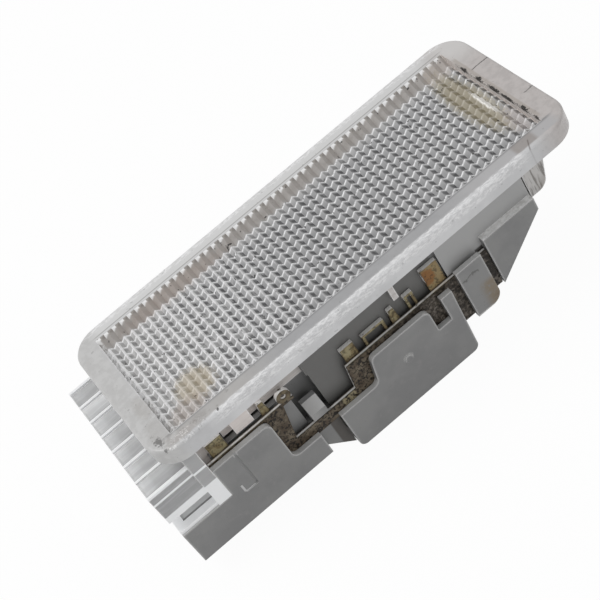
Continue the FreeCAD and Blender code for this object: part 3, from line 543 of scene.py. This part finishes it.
scuffs_and_edge_highlight = times(tree, scuffs_and_edge_highlight, either(tree, near_edge, far_edge))
frost = blended(tree, scuffs_and_edge_highlight, frost, (0.85, 0.85, 0.855, 1))
border_line = times(tree, band(tree, y, 14.1, 14.25, 0.1), fade(tree, along, 37.0, 35.0), 0.65)
frost = blended(tree, border_line, frost, (0.3, 0.295, 0.285, 1))
end_shade = times(tree, band(tree, x, 36.0, 36.6, 0.25), band(tree, y, -12.0, 10.0, 1.0), 0.6)
frost = blended(tree, end_shade, frost, (0.38, 0.34, 0.3, 1))
colour = blended(tree, field, frost, facet)


def blot(centre, spread, soft=0.5, ragged=1.2):
    """A soft uneven patch on the lens, in millimetres along and across it."""
    u = sum_of(tree, "DIVIDE", sum_of(tree, "SUBTRACT", x, centre[0]), spread[0])
    v = sum_of(tree, "DIVIDE", sum_of(tree, "SUBTRACT", y, centre[1]), spread[1])
    reach = sum_of(tree, "SQRT", sum_of(tree, "ADD", times(tree, u, u), times(tree, v, v)))
    reach = sum_of(tree, "ADD", reach, times(tree, sum_of(tree, "SUBTRACT", scuff, 0.5), ragged))
    return fade(tree, reach, 1.0, 1.0 - soft)


# Stains: rust of the rails and the spring showing through the lens, and dirt on the borders.
for centre, spread, strength, tint in (
        ((34.2, -8.0), (1.9, 5.0), 0.6, (0.5, 0.45, 0.43, 1)),
        ((33.5, 11.5), (3.5, 2.4), 0.55, (0.55, 0.5, 0.47, 1)),
        ((32.6, 1.6), (3.3, 12.5), 0.7, (0.34, 0.29, 0.18, 1)),
        ((33.9, -1.0), (0.6, 5.4), 1.0, (0.95, 0.93, 0.89, 1)),
        ((-28.6, -7.3), (4.2, 4.2), 0.55, (0.52, 0.44, 0.3, 1)),
        ((-31.5, -10.8), (4.5, 3.2), 0.45, (0.46, 0.39, 0.34, 1)),
        ((-22.0, 11.9), (12.5, 1.5), 0.3, (0.4, 0.31, 0.26, 1)),
        ((-36.8, -5.5), (1.8, 3.5), 0.25, (0.3, 0.27, 0.24, 1)),
        ((-37.0, -11.5), (2.4, 3.6), 0.35, (0.36, 0.345, 0.33, 1)),
        ((-31.4, -14.7), (2.0, 0.9), 0.5, (0.32, 0.305, 0.295, 1)),
        ((-34.5, -15.2), (3.0, 1.0), 0.35, (0.42, 0.39, 0.375, 1))):
    colour = blended(tree, times(tree, blot(centre, spread), strength), colour, tint)

# Scratches at the near left corner, dirt along the right end, a corner line, specks and two cracks.
top = fade(tree, z, 2.75, 2.95)
dirty = fade(tree, z, 2.4, 2.7)
scratches = speckle(tree, place, 3.6, 5.0, 0.7)
scratched = times(tree, blot((-34.5, -15.6), (5.5, 1.7)), top, fade(tree, mottle, 0.4, 0.55))
pale_marks = times(tree, scratched, fade(tree, scratches, 0.47, 0.4), 0.6)
colour = blended(tree, pale_marks, colour, (0.9, 0.89, 0.88, 1))
dark_marks = times(tree, scratched, fade(tree, scratches, 0.55, 0.62), 0.6)
colour = blended(tree, dark_marks, colour, (0.2, 0.18, 0.17, 1))
for centre, spread, strength in (
        ((-38.1, -13.5), (0.7, 1.0), 0.6),
        ((-38.0, -15.6), (0.3, 0.3), 0.6),
        ((-28.5, -16.1), (0.2, 0.35), 0.85),
        ((36.05, 7.0), (0.25, 1.0), 0.95),
        ((36.1, 3.0), (0.4, 0.7), 1.0),
        ((36.05, -1.1), (0.32, 1.4), 1.0),
        ((36.0, -4.6), (0.2, 1.6), 1.0),
        ((36.1, -9.0), (0.36, 0.9), 1.0),
        ((36.0, -12.3), (0.2, 0.6), 0.9)):
    dirt = times(tree, blot(centre, spread, 0.25, 4.5), dirty, strength)
    colour = blended(tree, dirt, colour, (0.02, 0.017, 0.015, 1))
edge_dirt = times(tree, band(tree, x, 35.95, 36.08, 0.08), band(tree, y, -12.5, 9.0, 0.5), dirty)
edge_dirt = times(tree, edge_dirt, fade(tree, scuff, 0.5, 0.56), 0.85)
colour = blended(tree, edge_dirt, colour, (0.04, 0.035, 0.03, 1))
corner_line = sum_of(tree, "SUBTRACT", sum_of(tree, "SUBTRACT", x, times(tree, y, 0.52)), 39.83)
corner_line = fade(tree, absolute(tree, corner_line), 0.18, 0.06)
corner_line = times(tree, corner_line, band(tree, y, -16.5, -14.9, 0.3), 0.6)
colour = blended(tree, corner_line, colour, (0.12, 0.1, 0.09, 1))
specks = times(tree, fade(tree, speckle(tree, place, 1.15, 2.0), 0.69, 0.71), 0.9)
specks = times(tree, specks, sum_of(tree, "ADD", times(tree, field, 0.75), 0.25))
for crack, start, reach in ((5.6, 36.5, 0.8), (-6.3, 38.0, 0.6)):
    bow = sum_of(tree, "ADD", sum_of(tree, "SUBTRACT", y, crack), times(tree, mottle, 0.9))
    crack_line = fade(tree, absolute(tree, sum_of(tree, "SUBTRACT", bow, 0.45)), 0.15, 0.06)
    crack_line = times(tree, crack_line, fade(tree, x, start, start + 0.4), fade(tree, z, 1.4, 2.2), reach)
    specks = either(tree, specks, crack_line)
colour = blended(tree, specks, colour, (0.03, 0.027, 0.025, 1))

# Below the flange the moulding is clear: heel with streaks along its ribs, sole, posts, skirt and lugs.
below = fade(tree, z, -0.05, -0.12)
heel = times(tree, below, fade(tree, x, -34.9, -35.1))
flow = speckle(tree, drawn_out(tree, place, (0.06, 1.0, 0.8)), 0.8, 4.0, 0.7)
rib = sum_of(tree, "FRACT", sum_of(tree, "DIVIDE", sum_of(tree, "ADD", y, heel_half_width), rib_pitch))
streak = fade(tree, absolute(tree, sum_of(tree, "SUBTRACT", rib, 0.06)), 0.1, 0.06)
streak = times(tree, streak, fade(tree, z, -3.4, -3.1))
side_line = times(tree, band(tree, z, -4.9, -4.6, 0.15), fade(tree, across, 14.8, 14.9))
streak = either(tree, streak, side_line)
side_face = fade(tree, across, 14.85, 14.95)
heel_foot = times(tree, side_face, fade(tree, z, -8.0, -8.3))
sole = times(tree, fade(tree, z, -12.3, -12.5), 0.9)
white = times(tree, either(tree, either(tree, streak, heel_foot), sole), heel)
bay = blended(tree, rib, (0.54, 0.545, 0.55, 1), (0.82, 0.825, 0.83, 1))
heel_tint = blended(tree, times(tree, fade(tree, flow, 0.46, 0.6), 0.7), bay, (0.88, 0.885, 0.89, 1))
heel_tint = blended(tree, times(tree, side_face, 0.6), heel_tint, (0.34, 0.34, 0.342, 1))
skirt_tint = blended(tree, fade(tree, flow, 0.4, 0.62), (0.56, 0.525, 0.505, 1), (0.74, 0.71, 0.69, 1))
# Painted light: the skirt left of the first tab is paler, as if lit through the clear plastic.
lit_skirt = blended(tree, fade(tree, flow, 0.4, 0.62), (0.84, 0.78, 0.75, 1), (0.95, 0.91, 0.88, 1))
skirt_tint = blended(tree, fade(tree, x, -19.0, -21.0), skirt_tint, lit_skirt)
cheek_flow = speckle(tree, drawn_out(tree, place, (1.0, 1.0, 0.12)), 1.7, 3.0, 0.6)
cheek_tint = blended(tree, fade(tree, cheek_flow, 0.4, 0.56), (0.25, 0.237, 0.222, 1), (0.62, 0.605, 0.59, 1))
cheek_stain = times(tree, fade(tree, z, -5.0, -8.0), fade(tree, x, 30.5, 32.5), 0.6)
cheek_tint = blended(tree, cheek_stain, cheek_tint, (0.36, 0.32, 0.27, 1))
skirt_tint = blended(tree, fade(tree, x, 29.0, 29.2), skirt_tint, cheek_tint)
clear_tint = blended(tree, heel, skirt_tint, heel_tint)
clear_tint = blended(tree, white, clear_tint, (0.92, 0.93, 0.94, 1))
turn_x, turn_y, turn_z = edge_tilt(tree, glint_reach)
glint = either(tree, absolute(tree, turn_x), absolute(tree, turn_y))
glint = times(tree, fade(tree, either(tree, glint, turn_z), 0.1, 0.35), below)
clear_tint = blended(tree, times(tree, glint, 0.7), clear_tint, (0.95, 0.955, 0.96, 1))
colour = blended(tree, below, colour, clear_tint)
feed(tree, colour, shader.inputs["Base Color"])
clear = sum_of(tree, "SUBTRACT", sum_of(tree, "ADD", times(tree, heel, 0.3), 0.22), times(tree, white, 0.5))
clear = either(tree, sum_of(tree, "SUBTRACT", clear, times(tree, glint, 0.4)), 0.0)
feed(tree, times(tree, below, clear), shader.inputs["Transmission Weight"])
shader.inputs["IOR"].default_value = 1.5
dull = sum_of(tree, "ADD", times(tree, scuff, 0.35), 0.15)
feed(tree, sum_of(tree, "SUBTRACT", dull, times(tree, below, 0.15)), shader.inputs["Roughness"])
shade_pass = tree.nodes.new("ShaderNodeLightPath").outputs["Is Shadow Ray"]
feed(tree, without(tree, times(tree, shade_pass, 0.65)), shader.inputs["Alpha"])
relief = sum_of(tree, "ADD", scuff, times(tree, field, mottle, 4.0))
relief = times(tree, relief, without(tree, below))
dented(tree, shader, relief, relief_depth)
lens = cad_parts["lens"]
dress(lens, lens_plastic)

# Retaining spring: a bent leaf of tarnished strip steel, hooked on the ledge at the tub's right end.
# It flexes over the edge of the trim panel when the lamp is pushed in.
spring_steel, tree, shader, place = finish_tree("spring_steel")
tarnish = speckle(tree, place, 0.6, 5.0, 0.65)
leaf = blended(tree, fade(tree, tarnish, 0.4, 0.65), (0.4, 0.36, 0.27, 1), (0.17, 0.13, 0.075, 1))
feed(tree, leaf, shader.inputs["Base Color"])
shader.inputs["Metallic"].default_value = 0.9
feed(tree, sum_of(tree, "ADD", sum_of(tree, "MULTIPLY", tarnish, 0.5), 0.2), shader.inputs["Roughness"])
strip_radius = 0.00006
spring = dressed_copy("retaining_spring", strip_radius)
dress(spring, spring_steel)

# Floor: a wide pale sheet that the lamp lies on, white to the eye, with a faint shadow left on it.
bpy.ops.object.select_all(action="DESELECT")
floor_size = 8.0
floor_gap = 0.0001
bpy.ops.mesh.primitive_plane_add(size=floor_size, location=(0, 0, cad_box[0][2] - floor_gap))
floor = bpy.context.object
floor.name = "floor"
white_sheet = bpy.data.materials.new("white_sheet")
white_sheet.use_nodes = True
tree = white_sheet.node_tree
matt = tree.nodes["Principled BSDF"]
matt.inputs["Base Color"].default_value = (0.82, 0.82, 0.82, 1)
matt.inputs["Roughness"].default_value = 0.9
shine = tree.nodes.new("ShaderNodeEmission")
light_path = tree.nodes.new("ShaderNodeLightPath")
seen = either(tree, light_path.outputs["Is Camera Ray"], light_path.outputs["Is Glossy Ray"])
seen = either(tree, seen, light_path.outputs["Is Transmission Ray"])
sheet_mix = tree.nodes.new("ShaderNodeMixShader")
feed(tree, sum_of(tree, "MULTIPLY", seen, 0.96), sheet_mix.inputs[0])
tree.links.new(matt.outputs[0], sheet_mix.inputs[1])
tree.links.new(shine.outputs[0], sheet_mix.inputs[2])
tree.links.new(sheet_mix.outputs[0], tree.nodes["Material Output"].inputs["Surface"])
floor.data.materials.append(white_sheet)

# Studio light: a large soft box over the far left of the lamp, and an even pale room.
world = bpy.data.worlds.new("studio")
bpy.context.scene.world = world
world.use_nodes = True
world.node_tree.nodes["Background"].inputs["Color"].default_value = (1.0, 1.0, 1.0, 1)
world.node_tree.nodes["Background"].inputs["Strength"].default_value = 0.5
for name, spot, aim, size, power in (
        ("soft_box", (-0.25, 0.15, 0.5), (0, 0, 0), 0.35, 1.6),
        ("front_fill", (0.1, -0.6, 0.25), (0, 0, 0), 0.4, 0.6)):
    lamp = bpy.data.lights.new(name, "AREA")
    lamp.size = size
    lamp.energy = power
    holder = bpy.data.objects.new(name, lamp)
    bpy.context.scene.collection.objects.link(holder)
    holder.location = spot
    holder.rotation_euler = (Vector(aim) - Vector(spot)).to_track_quat("-Z", "Y").to_euler()

# Camera: close over the near left corner, turned so that the lamp runs up to the right.
view = bpy.data.cameras.new("view")
view.sensor_width = 36.0
view.lens = 94.9
view.shift_x = 0.0008
camera = bpy.data.objects.new("view", view)
bpy.context.scene.collection.objects.link(camera)
right = Vector((0.7616, -0.4917, -0.4221))
up = Vector((0.6408, 0.4748, 0.6033))
back = right.cross(up)
stand = Vector((-0.03136, -0.18064, 0.16182))
camera.matrix_world = Matrix((
    (right.x, up.x, back.x, stand.x),
    (right.y, up.y, back.y, stand.y),
    (right.z, up.z, back.z, stand.z),
    (0, 0, 0, 1)))
bpy.context.scene.camera = camera
bpy.context.scene.view_settings.view_transform = "Standard"
